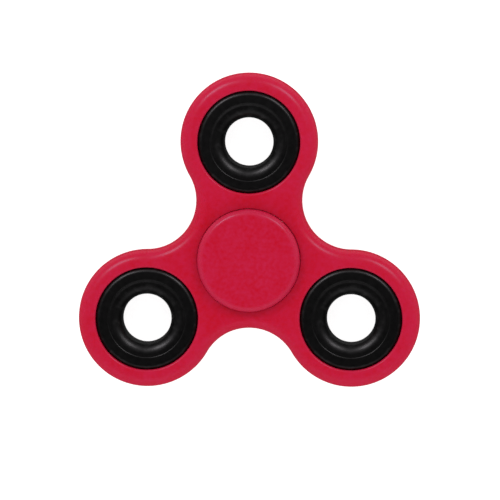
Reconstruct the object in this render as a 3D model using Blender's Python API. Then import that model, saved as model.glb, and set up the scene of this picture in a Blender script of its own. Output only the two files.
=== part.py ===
"""Three-lobed hand spinner with a shielded ball bearing, three counterweight rings and two finger buttons.

Metres, +Z up along the spin axis. The origin is the middle of the back button's flat face,
which the spinner rests on, and one lobe points along +Y.
"""

import math

import bmesh
import bpy

MM = 0.001

# Heights along the spin axis
TOTAL_H = 12.2 * MM
MID = TOTAL_H / 2
BODY_HALF = 3.6 * MM
RING_HALF = 3.5 * MM
CAP_T = 2.3 * MM

# Body outline: lobes and waists are tangent arcs, all centred one arm from the axis
LOBES = 3
ARM = 25.4 * MM
LOBE_R = 14.78 * MM
WAIST_R = ARM - LOBE_R
EDGE_R = 2.5 * MM
POCKET_R = 11.05 * MM
LIP_R = 0.65 * MM

# Counterweight ring, of the bearing's own outside size
RING_R = 11.0 * MM
RING_EDGE_R = 1.15 * MM
GROOVE_OUT_R = 8.59 * MM
GROOVE_LOW_R = 8.42 * MM
GROOVE_IN_R = 7.74 * MM
GROOVE_DEPTH = 0.12 * MM
MOUTH_R = 7.68 * MM
HOLE_R = 5.23 * MM

# Finger buttons
CAP_R = 11.05 * MM
CAP_EDGE_R = 1.4 * MM
CAP_CHAMFER = 0.15 * MM
BOSS_R = 5.5 * MM
SEAT_GAP = 0.05 * MM
POST_R = 3.95 * MM
POST_END_GAP = 0.2 * MM
PIN_R = 2.2 * MM
SOCKET_R = 2.3 * MM
PLUG_L = 4.6 * MM
PIN_SHORT = 0.4 * MM

# 608-size bearing
BORE_R = 4.0 * MM
OUTER_R = 11.0 * MM
BEARING_HALF = 3.5 * MM
PITCH_R = 7.5 * MM
BALL_R = 3.969 / 2 * MM
BALLS = 7
INNER_SHOULDER_R = 6.05 * MM
OUTER_SHOULDER_R = 8.95 * MM
INNER_GROOVE = 2.06 * MM
OUTER_GROOVE = 2.10 * MM
RACE_CHAMFER = 0.3 * MM
RECESS_R = 9.6 * MM
RECESS_HALF = 2.72 * MM
SHIELD_IN_R = 6.25 * MM
SHIELD_OUT_R = 9.5 * MM
SHIELD_T = 0.28 * MM

# Ribbon cage
CAGE_IN_R = 6.45 * MM
CAGE_OUT_R = 8.55 * MM
CAGE_POCKET_R = 2.12 * MM
CAGE_T = 0.35 * MM
CAGE_HALF_GAP = 0.02 * MM
RIVET_R = 0.3 * MM
RIVET_HOLE_R = 0.36 * MM
RIVET_HEAD_R = 0.6 * MM
RIVET_HEAD_H = 0.24 * MM

# Facets around a full circle
ROUND = 32
SHIELD_ROUND = 24
LOBE_STEPS = 24
WAIST_STEPS = 12


def clear():
    for obj in list(bpy.data.objects):
        bpy.data.objects.remove(obj, do_unlink=True)


def material(name, colour, roughness, metallic=0.0):
    made = bpy.data.materials.new(name)
    made.use_nodes = True
    shader = made.node_tree.nodes["Principled BSDF"]
    shader.inputs["Base Color"].default_value = (*colour, 1.0)
    shader.inputs["Roughness"].default_value = roughness
    shader.inputs["Metallic"].default_value = metallic
    made.diffuse_color = (*colour, 1.0)
    return made


def empty(name, parent=None, location=(0, 0, 0)):
    made = bpy.data.objects.new(name, None)
    made.empty_display_size = 0.01
    bpy.context.scene.collection.objects.link(made)
    made.location = location
    made.parent = parent
    return made


def mesh_from(bm, name):
    bmesh.ops.recalc_face_normals(bm, faces=bm.faces[:])
    mesh = bpy.data.meshes.new(name)
    bm.to_mesh(mesh)
    bm.free()
    mesh.shade_smooth()
    mesh.set_sharp_from_angle(angle=math.radians(32))
    return mesh


def place(name, mesh, look, parent, location=(0, 0, 0)):
    made = bpy.data.objects.new(name, mesh)
    bpy.context.scene.collection.objects.link(made)
    if not mesh.materials:
        mesh.materials.append(look)
    made.parent = parent
    made.location = location
    return made


def arc(centre_r, centre_z, radius, start, end, steps):
    """Points (r, z) of an arc in the profile plane, angles in degrees from +r towards +z."""
    points = []
    for i in range(steps + 1):
        t = math.radians(start + (end - start) * i / steps)
        points.append((centre_r + radius * math.cos(t), centre_z + radius * math.sin(t)))
    return points


def turned(name, profile, closed, steps=ROUND):
    """A solid turned about Z from (r, z) points: a closed loop, or a line from axis to axis."""
    bm = bmesh.new()
    verts = [bm.verts.new((r, 0, z)) for r, z in profile]
    edges = [bm.edges.new(pair) for pair in zip(verts, verts[1:])]
    if closed:
        edges.append(bm.edges.new((verts[-1], verts[0])))
    bmesh.ops.spin(
        bm,
        geom=verts + edges,
        cent=(0, 0, 0),
        axis=(0, 0, 1),
        angle=2 * math.pi,
        steps=steps,
        use_merge=True,
    )
    bmesh.ops.remove_doubles(bm, verts=bm.verts[:], dist=1e-6)
    return mesh_from(bm, name)


def mirrored(points):
    """The points, followed by their mirror images below z = 0 in reverse order."""
    return points + [(r, -z) for r, z in reversed(points)]


# ---------------------------------------------------------------- body


def outline(inset):
    """The body's outline moved inwards: lobe radii shrink and waist radii grow about the same centres."""
    points = []
    for i in range(LOBES):
        lobe = 90 + i * 360 / LOBES
        for centre, start, turn, radius, steps in (
            (lobe, lobe - 120, 240, LOBE_R - inset, LOBE_STEPS),
            (lobe + 60, lobe - 60, -120, WAIST_R + inset, WAIST_STEPS),
        ):
            c = math.radians(centre)
            for k in range(steps):
                t = math.radians(start + turn * k / steps)
                points.append(
                    (
                        ARM * math.cos(c) + radius * math.cos(t),
                        ARM * math.sin(c) + radius * math.sin(t),
                    )
                )
    return points


def circle(x, y, radius):
    return [
        (
            x + radius * math.cos(2 * math.pi * k / ROUND),
            y + radius * math.sin(2 * math.pi * k / ROUND),
        )
        for k in range(ROUND)
    ]


def lobe_centres():
    for i in range(LOBES):
        t = math.radians(90 + i * 360 / LOBES)
        yield ARM * math.cos(t), ARM * math.sin(t)


def skin(bm, loops):
    """Quads between successive loops of (x, y, z) points. Returns the edges of the first and last loop."""
    rows = [[bm.verts.new(p) for p in loop] for loop in loops]
    for low, high in zip(rows, rows[1:]):
        n = len(low)
        for k in range(n):
            bm.faces.new((low[k], low[(k + 1) % n], high[(k + 1) % n], high[k]))
    ends = []
    for row in (rows[0], rows[-1]):
        ends.append([bm.edges.get((row[k], row[(k + 1) % len(row)])) for k in range(len(row))])
    return ends


def body_mesh():
    bm = bmesh.new()
    fillet = arc(0, 0, EDGE_R, 0, 90, 3)
    side = [(EDGE_R - c, BODY_HALF - EDGE_R + s) for c, s in fillet]
    levels = [(d, -z) for d, z in reversed(side)] + side
    low, high = skin(bm, [[(x, y, z) for x, y in outline(d)] for d, z in levels])
    lip = [(LIP_R - c, BODY_HALF - LIP_R + s) for c, s in arc(0, 0, LIP_R, 0, 90, 2)]
    levels = [(d, -z) for d, z in reversed(lip)] + lip
    for x, y in [(0, 0), *lobe_centres()]:
        ends = skin(bm, [[(a, b, z) for a, b in circle(x, y, POCKET_R + d)] for d, z in levels])
        low += ends[0]
        high += ends[1]
    for edges in (low, high):
        bmesh.ops.triangle_fill(bm, use_beauty=True, use_dissolve=False, edges=edges)
    return mesh_from(bm, "spinner_body")


# ---------------------------------------------------------------- counterweight ring


def ring_mesh():
    top = arc(RING_R - RING_EDGE_R, RING_HALF - RING_EDGE_R, RING_EDGE_R, 0, 90, 2)
    top += [
        (GROOVE_OUT_R, RING_HALF),
        (GROOVE_LOW_R, RING_HALF - GROOVE_DEPTH),
        (GROOVE_IN_R, RING_HALF),
    ]
    mouth = MOUTH_R - HOLE_R
    top += arc(MOUTH_R, RING_HALF - mouth, mouth, 90, 180, 3)
    return turned("weight_ring", mirrored(top), closed=True)


# ---------------------------------------------------------------- buttons


def cap_profile(plug):
    """The front button, outside first: face, rounded edge, underside, boss and post. plug is what its post ends in."""
    top, under = TOTAL_H, TOTAL_H - CAP_T
    seat = MID + BEARING_HALF + SEAT_GAP
    return (
        [(0, top)]
        + list(reversed(arc(CAP_R - CAP_EDGE_R, top - CAP_EDGE_R, CAP_EDGE_R, 0, 90, 3)))
        + [
            (CAP_R, under + CAP_CHAMFER),
            (CAP_R - CAP_CHAMFER, under),
            (BOSS_R, under),
            (BOSS_R, seat),
            (POST_R, seat),
        ]
        + plug
    )


def front_cap_mesh():
    end = MID + POST_END_GAP
    plug = [
        (POST_R, end + CAP_CHAMFER),
        (POST_R - CAP_CHAMFER, end),
        (SOCKET_R, end),
        (SOCKET_R, end + PLUG_L),
        (0, end + PLUG_L),
    ]
    return turned("front_cap", cap_profile(plug), closed=False)


def back_cap_mesh():
    end = MID + POST_END_GAP
    tip = end - 2 * POST_END_GAP - PLUG_L + PIN_SHORT
    plug = [
        (POST_R, end + CAP_CHAMFER),
        (POST_R - CAP_CHAMFER, end),
        (PIN_R, end),
        (PIN_R, tip + CAP_CHAMFER),
        (PIN_R - CAP_CHAMFER, tip),
        (0, tip),
    ]
    flipped = [(r, TOTAL_H - z) for r, z in cap_profile(plug)]
    return turned("back_cap", flipped, closed=False)


# ---------------------------------------------------------------- bearing


def outer_race_mesh():
    open_at = math.degrees(math.acos((OUTER_SHOULDER_R - PITCH_R) / OUTER_GROOVE))
    side = [
        (OUTER_R, BEARING_HALF - RACE_CHAMFER),
        (OUTER_R - RACE_CHAMFER, BEARING_HALF),
        (RECESS_R, BEARING_HALF),
        (RECESS_R, RECESS_HALF),
        (OUTER_SHOULDER_R, RECESS_HALF),
    ]
    groove = arc(PITCH_R, 0, OUTER_GROOVE, open_at, -open_at, 4)
    low = [(r, -z) for r, z in reversed(side)]
    return turned("bearing_outer_race", side + groove + low, closed=True)


def inner_race_mesh():
    open_at = math.degrees(math.acos((PITCH_R - INNER_SHOULDER_R) / INNER_GROOVE))
    side = [
        (BORE_R, BEARING_HALF - RACE_CHAMFER),
        (BORE_R + RACE_CHAMFER, BEARING_HALF),
        (INNER_SHOULDER_R, BEARING_HALF),
    ]
    groove = arc(PITCH_R, 0, INNER_GROOVE, 180 - open_at, 180 + open_at, 4)
    low = [(r, -z) for r, z in reversed(side)]
    return turned("bearing_inner_race", side + groove + low, closed=True)


def shield_mesh(name, side):
    step = 0.15 * MM
    low = RECESS_HALF + 0.08 * MM
    profile = [
        (SHIELD_OUT_R, low),
        (SHIELD_OUT_R, low + SHIELD_T),
        (8.7 * MM, low + SHIELD_T),
        (8.5 * MM, low + step + SHIELD_T),
        (SHIELD_IN_R, low + step + SHIELD_T),
        (SHIELD_IN_R, low + step),
        (8.4 * MM, low + step),
        (8.6 * MM, low),
    ]
    return turned(name, [(r, side * z) for r, z in profile], closed=True, steps=SHIELD_ROUND)


def swing(r, z, pocket):
    """The angle about the axis from a ball's centre to the pocket sphere, at radius r and height z."""
    d2 = pocket * pocket - z * z
    cosine = (r * r + PITCH_R * PITCH_R - d2) / (2 * r * PITCH_R)
    return math.acos(min(1.0, cosine))


def cage_mesh(name, side):
    """Half of the ribbon cage: a flat ring that bulges over each ball. side is 1 for the half above the balls' plane and -1 for the one below."""
    bm = bmesh.new()
    steps = 8
    radii = [CAGE_IN_R, PITCH_R, CAGE_OUT_R]
    near, far = (
        (CAGE_POCKET_R, CAGE_HALF_GAP),
        (CAGE_POCKET_R + CAGE_T, CAGE_HALF_GAP + CAGE_T),
    )
    columns = []
    for b in range(BALLS):
        centre = math.pi / 2 + 2 * math.pi * b / BALLS
        for k in range(steps + 1):
            column = []
            for pocket, flat in (near, far):
                for r in radii:
                    crown = math.sqrt(pocket**2 - (r - PITCH_R) ** 2)
                    z = flat + (crown - flat) * math.sin(math.pi * k / steps)
                    turn = 0.0 if 2 * k == steps else swing(r, z, pocket)
                    angle = centre + math.copysign(turn, 2 * k - steps)
                    column.append(
                        bm.verts.new((r * math.cos(angle), r * math.sin(angle), side * z))
                    )
            columns.append(column)
    loop = [0, 1, 2, 5, 4, 3]
    for i, column in enumerate(columns):
        after = columns[(i + 1) % len(columns)]
        for a, b in zip(loop, loop[1:] + loop[:1]):
            bm.faces.new((column[a], after[a], after[b], column[b]))
    return mesh_from(bm, name)


def rivet_places():
    for k in range(BALLS):
        t = math.pi / 2 + 2 * math.pi * (k + 0.5) / BALLS
        yield PITCH_R * math.cos(t), PITCH_R * math.sin(t)


def rivet_mesh():
    under = CAGE_HALF_GAP + CAGE_T + 0.02 * MM
    top = [
        (0, under + RIVET_HEAD_H),
        (0.62 * RIVET_HEAD_R, under + 0.85 * RIVET_HEAD_H),
        (RIVET_HEAD_R, under),
        (RIVET_R, under),
    ]
    return turned("cage_rivet", mirrored(top), closed=False, steps=8)


def ball_mesh():
    bm = bmesh.new()
    bmesh.ops.create_uvsphere(bm, u_segments=12, v_segments=8, radius=BALL_R)
    return mesh_from(bm, "ball")


def rivet_hole_cutter():
    bm = bmesh.new()
    for x, y in rivet_places():
        made = bmesh.ops.create_cone(
            bm,
            cap_ends=True,
            cap_tris=False,
            segments=8,
            radius1=RIVET_HOLE_R,
            radius2=RIVET_HOLE_R,
            depth=2 * MM,
        )
        bmesh.ops.translate(bm, verts=made["verts"], vec=(x, y, 0))
    return mesh_from(bm, "rivet_holes")


# ---------------------------------------------------------------- assembly


def main():
    clear()
    red = material("red_moulded_plastic", (0.53, 0.012, 0.042), 0.42)
    black = material("black_enamelled_steel", (0.012, 0.012, 0.013), 0.34)
    steel = material("polished_bearing_steel", (0.62, 0.62, 0.64), 0.18, 1.0)
    pressed = material("pressed_steel", (0.55, 0.55, 0.56), 0.36, 1.0)

    hub = empty("hub_axis")
    rotor = empty("rotor_axis", hub)
    cage = empty("cage_axis", hub)
    middle = (0, 0, MID)

    place("spinner_body", body_mesh(), red, rotor, middle)
    ring = ring_mesh()
    names = ("weight_ring_top", "weight_ring_left", "weight_ring_right")
    for name, (x, y) in zip(names, lobe_centres()):
        place(name, ring, black, rotor, (x, y, MID))

    place("front_cap", front_cap_mesh(), red, hub)
    place("back_cap", back_cap_mesh(), red, hub)

    place("bearing_outer_race", outer_race_mesh(), steel, rotor, middle)
    place("bearing_inner_race", inner_race_mesh(), steel, hub, middle)
    place("shield_front", shield_mesh("shield_front", 1), pressed, rotor, middle)
    place("shield_back", shield_mesh("shield_back", -1), pressed, rotor, middle)

    cutter = place("rivet_holes", rivet_hole_cutter(), pressed, cage, middle)
    cutter.hide_render = True
    cutter.display_type = "WIRE"
    for name, side in (("cage_front", 1), ("cage_back", -1)):
        half = place(name, cage_mesh(name, side), pressed, cage, middle)
        cut = half.modifiers.new("rivet holes", "BOOLEAN")
        cut.operation = "DIFFERENCE"
        cut.solver = "EXACT"
        cut.object = cutter
    rivet = rivet_mesh()
    for k, (x, y) in enumerate(rivet_places()):
        place(f"cage_rivet_{k + 1}", rivet, pressed, cage, (x, y, MID))

    ball = ball_mesh()
    for k in range(BALLS):
        t = math.pi / 2 + 2 * math.pi * k / BALLS
        centre = (PITCH_R * math.cos(t), PITCH_R * math.sin(t), MID)
        place(f"ball_{k + 1}", ball, steel, cage, centre)


main()
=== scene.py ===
"""Looks of the three-lobed hand spinner: finely modelled pieces, their materials, a plain studio and the camera."""

import math
import bmesh
import bpy
import numpy as np
from mathutils import Matrix, Vector


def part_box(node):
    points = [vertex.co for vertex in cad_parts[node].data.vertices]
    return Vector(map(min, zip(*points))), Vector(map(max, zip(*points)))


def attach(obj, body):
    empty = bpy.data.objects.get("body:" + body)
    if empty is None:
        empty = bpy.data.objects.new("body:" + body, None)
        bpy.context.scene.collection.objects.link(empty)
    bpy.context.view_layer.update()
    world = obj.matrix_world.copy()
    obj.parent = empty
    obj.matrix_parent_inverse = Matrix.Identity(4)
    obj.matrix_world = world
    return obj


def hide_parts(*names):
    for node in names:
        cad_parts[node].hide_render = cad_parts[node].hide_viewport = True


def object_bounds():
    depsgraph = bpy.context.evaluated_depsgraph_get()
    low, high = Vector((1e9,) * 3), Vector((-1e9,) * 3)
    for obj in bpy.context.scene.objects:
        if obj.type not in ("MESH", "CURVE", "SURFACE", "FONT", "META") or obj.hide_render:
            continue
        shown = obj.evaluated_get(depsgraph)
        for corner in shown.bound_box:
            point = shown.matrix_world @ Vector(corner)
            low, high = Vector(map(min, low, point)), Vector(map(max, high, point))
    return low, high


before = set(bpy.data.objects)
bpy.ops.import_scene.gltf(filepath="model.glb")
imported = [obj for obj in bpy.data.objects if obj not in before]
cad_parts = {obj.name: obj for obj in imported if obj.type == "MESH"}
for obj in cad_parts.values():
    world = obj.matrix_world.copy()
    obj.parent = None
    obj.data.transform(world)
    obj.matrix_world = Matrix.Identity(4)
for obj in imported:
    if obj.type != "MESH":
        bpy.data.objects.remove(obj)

MM = 0.001
scene = bpy.context.scene
cad_box = [list(map(float, corner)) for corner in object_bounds()]

# ---------------------------------------------------------------- places, read from the frame


def middle(node):
    low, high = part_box(node)
    return (low + high) / 2


LOW, HIGH = (Vector(corner) for corner in cad_box)
TOP = HIGH.z
MID = middle("spinner_body").z
BODY_HALF = (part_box("spinner_body")[1].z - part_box("spinner_body")[0].z) / 2
RING_HALF = (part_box("weight_ring_top")[1].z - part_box("weight_ring_top")[0].z) / 2
RINGS = ("weight_ring_top", "weight_ring_left", "weight_ring_right")
ARM = middle("weight_ring_top").y
LOBE_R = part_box("spinner_body")[1].y - ARM
WAIST_R = ARM - LOBE_R
PITCH_R = (middle("ball_1") - Vector((0, 0, MID))).length
BALLS = 7
BALL_R = 3.969 / 2 * MM

EDGE_R = 2.5 * MM
POCKET_R = 11.05 * MM
LIP_R = 0.5 * MM

# ---------------------------------------------------------------- profiles and meshes


def rounded(corners, closed, support=0.05 * MM):
    """(r, z, rim) points of a profile from its corners (r, z, radius[, steps]). Rounded corners become arcs,
    and each long straight run gets a point near both its ends, so that it shades flat. The rim value is 1 on arcs."""
    count = len(corners)
    spans = []
    for i, corner in enumerate(corners):
        p = Vector(corner[:2])
        radius = corner[2] if len(corner) > 2 else 0.0
        steps = corner[3] if len(corner) > 3 else 5
        at_end = not closed and i in (0, count - 1)
        if at_end or radius <= 0:
            spans.append([(p, 0.0)])
            continue
        u = (Vector(corners[i - 1][:2]) - p).normalized()
        v = (Vector(corners[(i + 1) % count][:2]) - p).normalized()
        half = math.acos(max(-1, min(1, u.dot(v)))) / 2
        reach = radius / math.tan(half)
        centre = p + (u + v).normalized() * radius / math.sin(half)
        a, b = p + u * reach - centre, p + v * reach - centre
        start = math.atan2(a.y, a.x)
        turn = (math.atan2(b.y, b.x) - start + math.pi) % (2 * math.pi) - math.pi
        spans.append(
            [
                (
                    centre
                    + radius
                    * Vector((math.cos(start + turn * k / steps), math.sin(start + turn * k / steps))),
                    math.sin(math.pi * k / steps),
                )
                for k in range(steps + 1)
            ]
        )
    points = []
    for i, span in enumerate(spans):
        points += [(p.x, p.y, w) for p, w in span]
        if not closed and i == count - 1:
            break
        a, b = span[-1][0], spans[(i + 1) % count][0][0]
        gap = (b - a).length
        if gap > 4 * support:
            for share in (support / gap, 1 - support / gap):
                p = a.lerp(b, share)
                points.append((p.x, p.y, 0.0))
    return points


def mirrored(corners):
    """The corners, then their mirror images below z = 0."""
    return corners + [(c[0], -c[1], *c[2:]) for c in reversed(corners)]


def store(mesh, rim_mask):
    attribute = mesh.attributes.new("rim_mask", "FLOAT", "POINT")
    attribute.data.foreach_set("value", np.asarray(rim_mask, np.float32))


def finished(name, verts, faces, rim_mask, look, location=(0, 0, 0)):
    mesh = bpy.data.meshes.new(name)
    mesh.from_pydata([tuple(v) for v in verts], [], faces)
    store(mesh, rim_mask)
    bm = bmesh.new()
    bm.from_mesh(mesh)
    bmesh.ops.recalc_face_normals(bm, faces=bm.faces[:])
    if bm.calc_volume(signed=True) < 0:
        bmesh.ops.reverse_faces(bm, faces=bm.faces[:])
    bm.to_mesh(mesh)
    bm.free()
    mesh.shade_smooth()
    mesh.materials.append(look)
    made = bpy.data.objects.new(name, mesh)
    scene.collection.objects.link(made)
    made.location = location
    return made


def turned(name, points, closed, look, location=(0, 0, 0), steps=192):
    """A piece turned about its own Z from (r, z, rim) points."""
    verts, rim_mask, rows = [], [], []
    for r, z, w in points:
        if r < 1e-7:
            rows.append([len(verts)])
            verts.append((0.0, 0.0, z))
            rim_mask.append(w)
            continue
        rows.append(list(range(len(verts), len(verts) + steps)))
        for k in range(steps):
            t = 2 * math.pi * k / steps
            verts.append((r * math.cos(t), r * math.sin(t), z))
            rim_mask.append(w)
    faces = []
    pairs = list(zip(rows, rows[1:]))
    if closed:
        pairs.append((rows[-1], rows[0]))
    for a, b in pairs:
        for k in range(steps):
            n = (k + 1) % steps
            if len(a) == 1 and len(b) == 1:
                break
            if len(a) == 1:
                faces.append((a[0], b[n], b[k]))
            elif len(b) == 1:
                faces.append((a[k], a[n], b[0]))
            else:
                faces.append((a[k], a[n], b[n], b[k]))
    return finished(name, verts, faces, rim_mask, look, location)


# ---------------------------------------------------------------- materials


class Nodes:
    """A material's node tree with short ways to add to it."""

    def __init__(self, name):
        self.material = bpy.data.materials.new(name)
        self.material.use_nodes = True
        self.tree = self.material.node_tree
        self.shader = self.tree.nodes["Principled BSDF"]

    def add(self, kind, values=None, **settings):
        node = self.tree.nodes.new(kind)
        for key, value in settings.items():
            setattr(node, key, value)
        for key, value in (values or {}).items():
            self.put(node.inputs[key], value)
        return node

    def put(self, socket, value):
        if isinstance(value, bpy.types.NodeSocket):
            self.tree.links.new(value, socket)
        else:
            socket.default_value = value

    def math(self, operation, a, b=0.0, c=0.0, clamp=False):
        node = self.tree.nodes.new("ShaderNodeMath")
        node.operation = operation
        node.use_clamp = clamp
        for socket, value in zip(node.inputs, (a, b, c)):
            self.put(socket, value)
        return node.outputs[0]

    def noise(self, where, scale, detail=2.0, roughness=0.5):
        node = self.add(
            "ShaderNodeTexNoise",
            {"Vector": where, "Scale": scale, "Detail": detail, "Roughness": roughness},
        )
        return node.outputs["Fac"]

    def spread(self, value, low, high, to_low=0.0, to_high=1.0, smooth=False):
        node = self.add(
            "ShaderNodeMapRange",
            {
                "Value": value,
                "From Min": low,
                "From Max": high,
                "To Min": to_low,
                "To Max": to_high,
            },
        )
        node.interpolation_type = "SMOOTHSTEP" if smooth else "LINEAR"
        node.clamp = True
        return node.outputs["Result"]

    def mix(self, factor, a, b, blend="MIX"):
        node = self.tree.nodes.new("ShaderNodeMix")
        node.data_type = "RGBA"
        node.blend_type = blend
        colours = [s for s in node.inputs if s.type == "RGBA"]
        self.put(node.inputs[0], factor)
        self.put(colours[0], a)
        self.put(colours[1], b)
        return [s for s in node.outputs if s.type == "RGBA"][0]

    def bump(self, height, distance, strength=1.0, normal=None):
        values = {"Height": height, "Distance": distance, "Strength": strength}
        if normal is not None:
            values["Normal"] = normal
        return self.add("ShaderNodeBump", values).outputs["Normal"]

    @property
    def here(self):
        return self.add("ShaderNodeTexCoord").outputs["Object"]

    @property
    def rim_mask(self):
        return self.add("ShaderNodeAttribute", attribute_name="rim_mask").outputs["Fac"]


def rgb(r, g, b):
    """Linear colour from 0 to 255 display values."""
    made = []
    for v in (r, g, b):
        v /= 255
        made.append(v / 12.92 if v <= 0.04045 else ((v + 0.055) / 1.055) ** 2.4)
    return (*made, 1.0)


def red_plastic(name, dark, light, painted_cap_shade, painted_sheen):
    """Satin moulded plastic: slight mottling in the pigment, a fine moulded grain, and rounded edges a little smoother
    and paler, the paler colour being painted sheen.
    The fourth argument says whether the body gets painted shade from the cap: its colour is lifted out towards the
    lobes, so it stays deeper near the centre."""
    n = Nodes(name)
    here, rim_mask = n.here, n.rim_mask
    cloud = n.spread(n.noise(here, 190, 2.0), 0.3, 0.7)
    speck = n.spread(n.noise(here, 1250, 1.0), 0.25, 0.75)
    mottle = n.math("ADD", n.math("MULTIPLY", cloud, 0.35), n.math("MULTIPLY", speck, 0.65))
    base = n.mix(mottle, dark, light)
    # Painted shade from the cap: towards the lobes the colour is lifted, so the body stays deeper red near the centre.
    if painted_cap_shade:
        split = n.add("ShaderNodeSeparateXYZ", {"Vector": here})
        x, y = split.outputs[0], split.outputs[1]
        out = n.math("SQRT", n.math("ADD", n.math("MULTIPLY", x, x), n.math("MULTIPLY", y, y)))
        far = n.spread(out, 12.5 * MM, 21 * MM, 0.0, 1.0, smooth=True)
        base = n.mix(n.math("MULTIPLY", far, n.spread(n.noise(here, 160, 2.0), 0.3, 0.7, 0.8, 1.0)), base, PAINTED_SHADE_LIFT, "ADD")
    # Painted sheen: rounded edges are mixed towards a paler, bluer red; the same patches also make them a little less
    # rough.
    rim_patches = n.math("MULTIPLY", rim_mask, n.spread(n.noise(here, 420, 2.0), 0.3, 0.7, 0.55, 1.0), clamp=True)
    base = n.mix(n.math("MULTIPLY", rim_patches, painted_sheen), base, EDGE_PAINTED_SHEEN)
    n.put(n.shader.inputs["Base Color"], base)
    grain = n.noise(here, 3200, 2.0)
    streak = n.noise(here, 260, 1.0)
    rough = n.math("ADD", n.math("MULTIPLY", streak, 0.12), BODY_ROUGH - 0.06)
    rough = n.math("SUBTRACT", rough, n.math("MULTIPLY", rim_patches, 0.04))
    n.put(n.shader.inputs["Roughness"], rough)
    n.put(n.shader.inputs["Normal"], n.bump(grain, 0.003 * MM, 0.4))
    n.shader.inputs["IOR"].default_value = 1.5
    n.shader.inputs["Specular IOR Level"].default_value = BODY_SPECULAR
    n.shader.inputs["Specular Tint"].default_value = BODY_SPECULAR_TINT
    n.material.diffuse_color = light
    return n.material


def black_enamel():
    """Black baked enamel over turned steel: faint lathe rings and orange peel, a few specks, and rims a little worn."""
    n = Nodes("black_enamelled_steel")
    here, rim_mask = n.here, n.rim_mask
    split = n.add("ShaderNodeSeparateXYZ", {"Vector": here})
    x, y, z = split.outputs
    radius = n.math("SQRT", n.math("ADD", n.math("MULTIPLY", x, x), n.math("MULTIPLY", y, y)))
    lathe = n.add(
        "ShaderNodeTexNoise",
        {"W": n.math("ADD", radius, n.math("MULTIPLY", z, 0.9)), "Scale": 9000.0, "Detail": 2.0},
        noise_dimensions="1D",
    ).outputs["Fac"]
    peel = n.noise(here, 1500, 2.0)
    specks = n.add("ShaderNodeTexVoronoi", {"Vector": here, "Scale": 420.0}, feature="F1")
    speck = n.spread(specks.outputs["Distance"], 0.06, 0.13, 1.0, 0.0, smooth=True)
    rare = n.spread(
        n.add("ShaderNodeSeparateXYZ", {"Vector": specks.outputs["Color"]}).outputs[0],
        0.86,
        0.9,
    )
    speck = n.math("MULTIPLY", speck, rare)
    rim_patches = n.math("MULTIPLY", rim_mask, n.spread(n.noise(here, 600, 4.0), 0.5, 0.72), clamp=True)
    base = n.mix(n.spread(peel, 0.3, 0.7), RING_DARK, RING_LIGHT)
    base = n.mix(n.math("MULTIPLY", speck, 0.5), base, (0.06, 0.06, 0.06, 1))
    base = n.mix(n.math("MULTIPLY", rim_patches, 0.25), base, (0.05, 0.048, 0.05, 1))
    n.put(n.shader.inputs["Base Color"], base)
    rough = n.spread(n.noise(here, 800, 3.0), 0.3, 0.7, RING_ROUGH - 0.03, RING_ROUGH + 0.03)
    rough = n.math("ADD", rough, n.math("MULTIPLY", lathe, 0.03))
    n.put(n.shader.inputs["Roughness"], rough)
    first = n.bump(lathe, 0.0022 * MM, 0.5)
    second = n.bump(peel, 0.004 * MM, 0.4, first)
    n.put(n.shader.inputs["Normal"], n.bump(speck, 0.02 * MM, 0.8, second))
    n.shader.inputs["IOR"].default_value = 1.5
    n.shader.inputs["Specular IOR Level"].default_value = RING_SPECULAR
    n.material.diffuse_color = (0.02, 0.02, 0.02, 1)
    return n.material


def steel(name, light, dark, rough, ground):
    """Bare steel: fine marks round the axis or all over, a faint tint from oil, and brighter rims."""
    n = Nodes(name)
    here, rim_mask = n.here, n.rim_mask
    split = n.add("ShaderNodeSeparateXYZ", {"Vector": here})
    x, y, z = split.outputs
    if ground:
        radius = n.math("SQRT", n.math("ADD", n.math("MULTIPLY", x, x), n.math("MULTIPLY", y, y)))
        marks = n.add(
            "ShaderNodeTexNoise",
            {"W": n.math("ADD", radius, z), "Scale": 16000.0, "Detail": 3.0},
            noise_dimensions="1D",
        ).outputs["Fac"]
    else:
        marks = n.noise(here, 7000, 3.0)
    film = n.spread(n.noise(here, 380, 3.0), 0.35, 0.65)
    base = n.mix(film, dark, light)
    base = n.mix(n.math("MULTIPLY", rim_mask, 0.3, clamp=True), base, (0.78, 0.78, 0.79, 1))
    n.put(n.shader.inputs["Base Color"], base)
    n.shader.inputs["Metallic"].default_value = 1.0
    rough_mix = n.spread(marks, 0.3, 0.7, rough - 0.04, rough + 0.06)
    n.put(n.shader.inputs["Roughness"], n.math("ADD", rough_mix, n.math("MULTIPLY", film, 0.05)))
    n.put(n.shader.inputs["Normal"], n.bump(marks, 0.0015 * MM, 0.5))
    n.material.diffuse_color = light
    return n.material


CAP_LIGHT = (0.501, 0.0100, 0.0500, 1)
CAP_DARK = (0.481, 0.0002, 0.0130, 1)
# The body's red, with its green and blue kept low as painted shade from the cap.
BODY_LIGHT = (0.507, 0.0062, 0.0395, 1)
BODY_DARK = (0.489, 0.0, 0.0105, 1)
# Added towards the lobes, taking that painted shade back out there.
PAINTED_SHADE_LIFT = (0.0, 0.0030, 0.0085, 1)
# A paler, bluer red painted on rounded edges as painted sheen.
EDGE_PAINTED_SHEEN = (0.50, 0.020, 0.062, 1)
BODY_ROUGH = 0.30
BODY_SPECULAR = 0.15
BODY_SPECULAR_TINT = (0.15, 0.75, 1.0, 1)
RING_DARK = (0.0006, 0.0006, 0.0006, 1)
RING_LIGHT = (0.0014, 0.0014, 0.0014, 1)
RING_ROUGH = 0.37
RING_SPECULAR = 0.30

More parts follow.
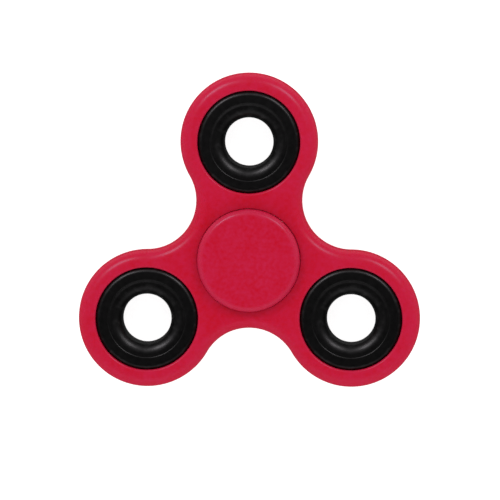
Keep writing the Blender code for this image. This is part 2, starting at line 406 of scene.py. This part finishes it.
# True gives the body painted shade from the cap; the last number is how strongly rounded edges get painted sheen, far
# more on the buttons' rims.
RED = red_plastic("red_satin_plastic", BODY_DARK, BODY_LIGHT, True, 0.45)
CAP_RED = red_plastic("red_satin_button_plastic", CAP_DARK, CAP_LIGHT, False, 0.9)
BLACK = black_enamel()
RACE = steel("ground_bearing_steel", (0.60, 0.60, 0.61, 1), (0.50, 0.50, 0.51, 1), 0.30, True)
BALL = steel("polished_ball_steel", (0.72, 0.72, 0.74, 1), (0.66, 0.66, 0.68, 1), 0.07, False)
PRESSED = steel("pressed_steel", (0.58, 0.58, 0.59, 1), (0.48, 0.48, 0.49, 1), 0.30, False)

# ---------------------------------------------------------------- body


def outline(inset, lobe_steps=96, waist_steps=48):
    """The body's outline moved inwards."""
    points = []
    for i in range(3):
        lobe = 90 + i * 120
        for centre, start, turn, radius, steps in (
            (lobe, lobe - 120, 240, LOBE_R - inset, lobe_steps),
            (lobe + 60, lobe - 60, -120, WAIST_R + inset, waist_steps),
        ):
            c = math.radians(centre)
            for k in range(steps):
                t = math.radians(start + turn * k / steps)
                points.append(
                    (
                        ARM * math.cos(c) + radius * math.cos(t),
                        ARM * math.sin(c) + radius * math.sin(t),
                    )
                )
    return points


def circle(centre, radius, steps=160):
    return [
        (
            centre[0] + radius * math.cos(2 * math.pi * k / steps),
            centre[1] + radius * math.sin(2 * math.pi * k / steps),
        )
        for k in range(steps)
    ]


def both_ways(side):
    return [(d, -z, w) for d, z, w in reversed(side)] + side


def spinner_body():
    bm = bmesh.new()
    layer = bm.verts.layers.float.new("rim_mask")

    def skin(loops):
        rows = []
        for points, z, w in loops:
            row = []
            for x, y in points:
                v = bm.verts.new((x, y, z))
                v[layer] = w
                row.append(v)
            rows.append(row)
        for low, high in zip(rows, rows[1:]):
            for k in range(len(low)):
                n = (k + 1) % len(low)
                bm.faces.new((low[k], low[n], high[n], high[k]))
        return [
            [bm.edges.get((row[k], row[(k + 1) % len(row)])) for k in range(len(row))]
            for row in (rows[0], rows[-1])
        ]

    # outer wall: a parting line where the mould halves met, then the big rounded edge
    side = [
        (-0.07 * MM, 0.04 * MM, 0.8),
        (-0.05 * MM, 0.09 * MM, 0.8),
        (0.0, 0.14 * MM, 0.3),
        (0.0, 0.22 * MM, 0.0),
        (0.0, BODY_HALF - EDGE_R - 0.3 * MM, 0.0),
    ]
    steps = 16
    for k in range(steps + 1):
        t = math.pi / 2 * k / steps
        side.append(
            (
                EDGE_R * (1 - math.cos(t)),
                BODY_HALF - EDGE_R + EDGE_R * math.sin(t),
                math.sin(2 * t) * 0.6,
            )
        )
    side.append((EDGE_R + 0.07 * MM, BODY_HALF, 0.0))
    low, high = skin([(outline(d), z, w) for d, z, w in both_ways(side)])

    for node in ("front_cap", *RINGS):
        centre = middle(node)
        radius = 0.22 * MM if node == "front_cap" else LIP_R
        lip = [(0.0, 0.5 * MM, 0.0), (0.0, BODY_HALF - radius - 0.1 * MM, 0.0)]
        steps = 9
        for k in range(steps + 1):
            t = math.pi / 2 * k / steps
            lip.append(
                (
                    radius * (1 - math.cos(t)),
                    BODY_HALF - radius + radius * math.sin(t),
                    math.sin(2 * t),
                )
            )
        lip.append((radius + 0.06 * MM, BODY_HALF, 0.0))
        ends = skin([(circle(centre, POCKET_R + d), z, w) for d, z, w in both_ways(lip)])
        low += ends[0]
        high += ends[1]
    for edges in (low, high):
        bmesh.ops.triangle_fill(bm, use_beauty=True, use_dissolve=False, edges=edges)
    bmesh.ops.recalc_face_normals(bm, faces=bm.faces[:])
    if bm.calc_volume(signed=True) < 0:
        bmesh.ops.reverse_faces(bm, faces=bm.faces[:])
    mesh = bpy.data.meshes.new("body_moulding")
    bm.to_mesh(mesh)
    bm.free()
    mesh.shade_smooth()
    mesh.materials.append(RED)
    made = bpy.data.objects.new("body_moulding", mesh)
    scene.collection.objects.link(made)
    made.location = (0, 0, MID)
    return made


def fit(piece, body, node):
    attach(piece, body)
    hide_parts(node)
    return piece


fit(spinner_body(), "rotor", "spinner_body")

# ---------------------------------------------------------------- counterweight rings

ring_top = [
    (11.055 * MM, RING_HALF - 0.903 * MM, 0.04 * MM, 3),
    (10.589 * MM, RING_HALF, 1.0 * MM, 14),
    (8.48 * MM, RING_HALF, 0.05 * MM, 4),
    (8.35 * MM, RING_HALF - 0.09 * MM, 0.05 * MM, 4),
    (7.90 * MM, RING_HALF - 0.01 * MM, 0.2 * MM, 4),
    (5.23 * MM, RING_HALF, 2.45 * MM, 28),
]
ring_profile = rounded(mirrored(ring_top), closed=True)
for node in RINGS:
    piece = turned(node + "_turning", ring_profile, True, BLACK, middle(node))
    fit(piece, "rotor", node)

# ---------------------------------------------------------------- finger buttons

SEAT = MID + 3.55 * MM
POST_END = MID + 0.2 * MM
under = TOP - 2.3 * MM
face = [
    (0.0, TOP),
    (11.05 * MM, TOP, 1.4 * MM, 14),
    (11.05 * MM, under, 0.15 * MM, 5),
    (5.5 * MM, under, 0.12 * MM, 4),
    (5.5 * MM, SEAT, 0.03 * MM, 2),
    (3.95 * MM, SEAT, 0.03 * MM, 2),
]
front = face + [
    (3.95 * MM, POST_END, 0.25 * MM, 4),
    (2.3 * MM, POST_END, 0.15 * MM, 4),
    (2.3 * MM, POST_END + 4.6 * MM, 0.1 * MM, 3),
    (0.0, POST_END + 4.6 * MM),
]
fit(turned("front_button", rounded(front, False), False, CAP_RED), "hub", "front_cap")
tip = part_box("back_cap")[1].z
back = [(c[0], TOP - c[1], *c[2:]) for c in face] + [
    (3.95 * MM, TOP - POST_END, 0.25 * MM, 4),
    (2.2 * MM, TOP - POST_END, 0.1 * MM, 3),
    (2.2 * MM, tip, 0.4 * MM, 5),
    (0.0, tip),
]
fit(turned("back_button", rounded(back, False), False, CAP_RED), "hub", "back_cap")

# ---------------------------------------------------------------- bearing


def groove(shoulder, radius, sign, steps=20):
    """Points of a ball groove's arc between its shoulders, from above to below."""
    open_at = math.acos(abs(shoulder - PITCH_R) / radius)
    return [
        (
            PITCH_R + sign * radius * math.cos(open_at * (1 - 2 * k / steps)),
            radius * math.sin(open_at * (1 - 2 * k / steps)),
            1.0 if k in (0, steps) else 0.0,
        )
        for k in range(steps + 1)
    ]


HALF = 3.5 * MM


def race(corners, arc_points):
    """A race's closed profile from its upper corners, its groove, and the same corners below."""
    side = rounded(corners, False)
    return side + arc_points + [(r, -z, w) for r, z, w in reversed(side)]


outer = race(
    [
        (11.055 * MM, 0.2 * MM),
        (11.055 * MM, HALF, 0.3 * MM, 5),
        (9.6 * MM, HALF, 0.06 * MM, 3),
        (9.6 * MM, 2.72 * MM, 0.05 * MM, 3),
        (8.95 * MM, 2.72 * MM, 0.05 * MM, 3),
        (8.95 * MM, 1.75 * MM),
    ],
    groove(8.95 * MM, 2.03 * MM, 1),
)
centre = (0, 0, MID)
fit(turned("outer_race_ground", outer, True, RACE, centre), "rotor", "bearing_outer_race")
inner = race(
    [
        (4.0 * MM, 0.2 * MM),
        (4.0 * MM, HALF, 0.3 * MM, 5),
        (6.05 * MM, HALF, 0.15 * MM, 4),
        (6.05 * MM, 1.7 * MM),
    ],
    groove(6.05 * MM, 2.03 * MM, -1),
)
fit(turned("inner_race_ground", inner, True, RACE, centre), "hub", "bearing_inner_race")

for node, sign in (("shield_front", 1), ("shield_back", -1)):
    flange, step = 2.80 * MM, 0.15 * MM
    plate = 0.28 * MM
    corners = [
        (9.5 * MM, flange, 0.08 * MM, 3),
        (9.5 * MM, flange + plate, 0.08 * MM, 3),
        (8.75 * MM, flange + plate, 0.12 * MM, 4),
        (8.55 * MM, flange + plate + step, 0.12 * MM, 4),
        (6.25 * MM, flange + plate + step, 0.05 * MM, 3),
        (6.25 * MM, flange + step, 0.05 * MM, 3),
        (8.45 * MM, flange + step, 0.12 * MM, 4),
        (8.65 * MM, flange, 0.12 * MM, 4),
    ]
    profile = [(r, sign * z, w) for r, z, w in rounded(corners, True, 0.04 * MM)]
    piece = turned(node + "_pressing", profile, True, PRESSED, centre, 144)
    fit(piece, "rotor", node)

CAGE_POCKET_R, CAGE_T, CAGE_GAP = 2.12 * MM, 0.35 * MM, 0.02 * MM


def cage_half(name, side):
    """Half the ribbon cage, rounded over each ball, with the rivet holes cut through its webs."""
    steps, web = 28, 6
    radii = [6.45 * MM + (8.55 - 6.45) * MM * i / 8 for i in range(9)]
    columns, verts = [], []
    for b in range(BALLS):
        middle_angle = math.pi / 2 + 2 * math.pi * b / BALLS
        ends = []
        for k in range(steps + 1):
            column = []
            for pocket, flat in (
                (CAGE_POCKET_R, CAGE_GAP),
                (CAGE_POCKET_R + CAGE_T, CAGE_GAP + CAGE_T),
            ):
                for r in radii:
                    crown = math.sqrt(pocket**2 - (r - PITCH_R) ** 2)
                    z = flat + (crown - flat) * math.sin(math.pi * k / steps)
                    cosine = (r * r + PITCH_R**2 - pocket**2 + z * z) / (2 * r * PITCH_R)
                    turn = 0.0 if 2 * k == steps else math.acos(min(1.0, cosine))
                    column.append((r, math.copysign(turn, 2 * k - steps), z))
            ends.append(column)
        for column in ends:
            columns.append([(r, middle_angle + a, z) for r, a, z in column])
        for j in range(1, web):
            share = j / web
            columns.append(
                [
                    (
                        p[0],
                        middle_angle
                        + p[1] * (1 - share)
                        + (2 * math.pi / BALLS - p[1]) * share,
                        p[2],
                    )
                    for p in ends[-1]
                ]
            )
    for column in columns:
        verts += [(r * math.cos(a), r * math.sin(a), side * z) for r, a, z in column]
    high = len(radii)
    loop = list(range(high)) + list(range(2 * high - 1, high - 1, -1))
    faces = []
    for i in range(len(columns)):
        a, b = i * 2 * high, (i + 1) % len(columns) * 2 * high
        for p, q in zip(loop, loop[1:] + loop[:1]):
            faces.append((a + p, b + p, b + q, a + q))
    rim_mask = [
        1.0 if v % (2 * high) in (0, high - 1, high, 2 * high - 1) else 0.0
        for v in range(len(verts))
    ]
    made = finished(name, verts, faces, rim_mask, PRESSED, centre)
    bm = bmesh.new()
    for x, y in rivet_places():
        cut = bmesh.ops.create_cone(
            bm, cap_ends=True, segments=24, radius1=0.34 * MM, radius2=0.34 * MM, depth=2 * MM
        )
        bmesh.ops.translate(bm, verts=cut["verts"], vec=(x, y, 0))
    mesh = bpy.data.meshes.new(name + "_holes")
    bm.to_mesh(mesh)
    bm.free()
    cutter = bpy.data.objects.new(name + "_holes", mesh)
    scene.collection.objects.link(cutter)
    cutter.location = centre
    modifier = made.modifiers.new("rivet holes", "BOOLEAN")
    modifier.operation, modifier.solver, modifier.object = "DIFFERENCE", "EXACT", cutter
    bpy.context.view_layer.update()
    graph = bpy.context.evaluated_depsgraph_get()
    cut_mesh = bpy.data.meshes.new_from_object(made.evaluated_get(graph))
    made.modifiers.clear()
    made.data = cut_mesh
    bpy.data.objects.remove(cutter)
    made.data.shade_smooth()
    made.data.set_sharp_from_angle(angle=math.radians(50))
    return made


def rivet_places():
    for k in range(BALLS):
        t = math.pi / 2 + 2 * math.pi * (k + 0.5) / BALLS
        yield PITCH_R * math.cos(t), PITCH_R * math.sin(t)


fit(cage_half("cage_front_ribbon", 1), "cage", "cage_front")
fit(cage_half("cage_back_ribbon", -1), "cage", "cage_back")

under_head = CAGE_GAP + CAGE_T + 0.02 * MM
rivet_top = [
    (0.0, under_head + 0.24 * MM),
    (0.6 * MM, under_head + 0.24 * MM, 0.2 * MM, 6),
    (0.6 * MM, under_head, 0.03 * MM, 2),
    (0.3 * MM, under_head, 0.02 * MM, 2),
]
rivet_profile = rounded(mirrored(rivet_top), False, 0.02 * MM)
for k, (x, y) in enumerate(rivet_places()):
    name = f"cage_rivet_{k + 1}"
    piece = turned(name + "_headed", rivet_profile, False, PRESSED, (x, y, MID), 32)
    fit(piece, "cage", name)


def ball(name, location):
    """A ball from a cube's faces, split finely and pushed out to the sphere, so that it has no poles."""
    bm = bmesh.new()
    bmesh.ops.create_cube(bm, size=2.0)
    bmesh.ops.subdivide_edges(bm, edges=bm.edges[:], cuts=23, use_grid_fill=True)
    for v in bm.verts:
        warped = Vector([math.tan(c * math.pi / 4) for c in v.co])
        v.co = warped.normalized() * BALL_R
    verts = [v.co.copy() for v in bm.verts]
    faces = [[v.index for v in f.verts] for f in bm.faces]
    bm.free()
    return finished(name, verts, faces, [0.0] * len(verts), BALL, location)


for k in range(BALLS):
    node = f"ball_{k + 1}"
    fit(ball(node + "_lapped", middle(node)), node, node)

# ---------------------------------------------------------------- studio


def plane(name, size, z, look):
    bm = bmesh.new()
    bmesh.ops.create_grid(bm, x_segments=1, y_segments=1, size=size / 2)
    mesh = bpy.data.meshes.new(name)
    bm.to_mesh(mesh)
    bm.free()
    mesh.materials.append(look)
    made = bpy.data.objects.new(name, mesh)
    scene.collection.objects.link(made)
    made.location.z = z
    return made


def paper():
    n = Nodes("white_paper")
    n.shader.inputs["Base Color"].default_value = (0.55, 0.55, 0.55, 1)
    n.shader.inputs["Roughness"].default_value = 0.9
    n.shader.inputs["Specular IOR Level"].default_value = 0.1
    n.shader.inputs["Emission Color"].default_value = (1, 1, 1, 1)
    n.shader.inputs["Emission Strength"].default_value = FLOOR_GLOW
    n.put(n.shader.inputs["Normal"], n.bump(n.noise(n.here, 400, 3.0), 0.02 * MM, 0.2))
    return n.material


FLOOR_GLOW = 0.85
floor = plane("paper_floor", 12.0, -0.02 * MM, paper())
floor.visible_glossy = False

AIM = Vector((0, 0, MID))
TINGE = (1.0, 0.955, 1.0)


def softbox(name, azimuth, from_vertical, distance, width, height, power, colour=(1, 1, 1)):
    light = bpy.data.lights.new(name, "AREA")
    light.shape = "RECTANGLE"
    light.size, light.size_y = width, height
    light.energy = power
    light.color = colour
    made = bpy.data.objects.new(name, light)
    scene.collection.objects.link(made)
    a, t = math.radians(azimuth), math.radians(from_vertical)
    made.location = AIM + distance * Vector(
        (math.sin(t) * math.cos(a), math.sin(t) * math.sin(a), math.cos(t))
    )
    made.rotation_euler = (AIM - made.location).to_track_quat("-Z", "Y").to_euler()
    return made


softbox("softbox_left", 126, 47, 0.9, 0.30, 0.25, 1.3, TINGE)
softbox("softbox_right", 54, 47, 0.9, 0.30, 0.25, 1.05, TINGE)
softbox("softbox_fill", 270, 58, 0.9, 1.3, 0.6, 1.4, TINGE)
for name, azimuth, power in (("glint_left", 126, 2.75), ("glint_right", 54, 2.2)):
    glint = softbox(name, azimuth, 47, 0.905, 0.30, 0.25, power, TINGE)
    glint.visible_diffuse = False


def surroundings():
    """An even white dome, which glossy rays see as a dim room, darkest straight up."""
    world = bpy.data.worlds.new("studio")
    scene.world = world
    world.use_nodes = True
    world.cycles.sampling_method = "NONE"
    tree = world.node_tree

    def node(kind, **values):
        made = tree.nodes.new(kind)
        for key, value in values.items():
            made.inputs[key].default_value = value
        return made

    white = node("ShaderNodeBackground", Color=(1, 1, 1, 1), Strength=1.0)
    dome = node("ShaderNodeBackground", Color=(1, 1, 1, 1), Strength=0.87)
    room = node("ShaderNodeBackground", Color=(1, 1, 1, 1))
    where = node("ShaderNodeTexCoord")
    split = node("ShaderNodeSeparateXYZ")
    tree.links.new(where.outputs["Generated"], split.inputs[0])
    level = node("ShaderNodeMath")
    level.operation = "MULTIPLY"
    for socket, low, high, below, above in ((0, 0.05, 0.35, 0.11, 0.20), (1, 0.5, 0.95, 1.0, 0.02)):
        shade = node("ShaderNodeMapRange")
        for key, value in (("From Min", low), ("From Max", high), ("To Min", below), ("To Max", above)):
            shade.inputs[key].default_value = value
        shade.interpolation_type = "SMOOTHSTEP"
        tree.links.new(split.outputs["Z"], shade.inputs["Value"])
        tree.links.new(shade.outputs["Result"], level.inputs[socket])
    # the bright table behind the object, low down on the +Y side
    for axis, low, high, below, above in (
        ("Z", -0.75, -0.5, 0.0, 1.0),
        ("Z", -0.1, 0.15, 1.0, 0.0),
        ("Y", 0.25, 0.75, 0.0, 0.75),
    ):
        shade = node("ShaderNodeMapRange")
        for key, value in (("From Min", low), ("From Max", high), ("To Min", below), ("To Max", above)):
            shade.inputs[key].default_value = value
        shade.interpolation_type = "SMOOTHSTEP"
        tree.links.new(split.outputs[axis], shade.inputs["Value"])
        if axis == "Z" and low == -0.75:
            table = shade.outputs["Result"]
            continue
        times = node("ShaderNodeMath")
        times.operation = "MULTIPLY"
        tree.links.new(table, times.inputs[0])
        tree.links.new(shade.outputs["Result"], times.inputs[1])
        table = times.outputs[0]
    total = node("ShaderNodeMath")
    total.operation = "ADD"
    tree.links.new(level.outputs[0], total.inputs[0])
    tree.links.new(table, total.inputs[1])
    tree.links.new(total.outputs[0], room.inputs["Strength"])
    rays = node("ShaderNodeLightPath")
    glossy = node("ShaderNodeMixShader")
    camera = node("ShaderNodeMixShader")
    tree.links.new(rays.outputs["Is Glossy Ray"], glossy.inputs[0])
    tree.links.new(dome.outputs[0], glossy.inputs[1])
    tree.links.new(room.outputs[0], glossy.inputs[2])
    tree.links.new(rays.outputs["Is Camera Ray"], camera.inputs[0])
    tree.links.new(glossy.outputs[0], camera.inputs[1])
    tree.links.new(white.outputs[0], camera.inputs[2])
    tree.links.new(camera.outputs[0], tree.nodes["World Output"].inputs["Surface"])


surroundings()

# ---------------------------------------------------------------- camera

DISTANCE = 1.2
TILT_Y, TILT_X = 4.1, 2.2
SPAN = 0.10783
PIXEL = SPAN / 500
camera_data = bpy.data.cameras.new("camera")
camera_data.sensor_fit = "HORIZONTAL"
camera_data.sensor_width = 36
camera_data.lens = 36 * DISTANCE / SPAN
camera_data.clip_start = 0.01
camera_data.clip_end = 50
camera = bpy.data.objects.new("camera", camera_data)
scene.collection.objects.link(camera)
back_axis = Vector(
    (math.tan(math.radians(TILT_X)), math.tan(math.radians(TILT_Y)), 1.0)
).normalized()
right = Vector((0, 1, 0)).cross(back_axis).normalized()
up = back_axis.cross(right)
rotation = Matrix((right, up, back_axis)).transposed()
SHOW_AT = (249.3, 259.05)
target = AIM - right * (SHOW_AT[0] - 250) * PIXEL + up * (SHOW_AT[1] - 250) * PIXEL
camera.matrix_world = Matrix.Translation(target + back_axis * DISTANCE) @ rotation.to_4x4()
scene.camera = camera

scene.view_settings.view_transform = "Standard"
scene.view_settings.look = "None"
scene.view_settings.exposure = 0.0
scene.view_settings.gamma = 1.0
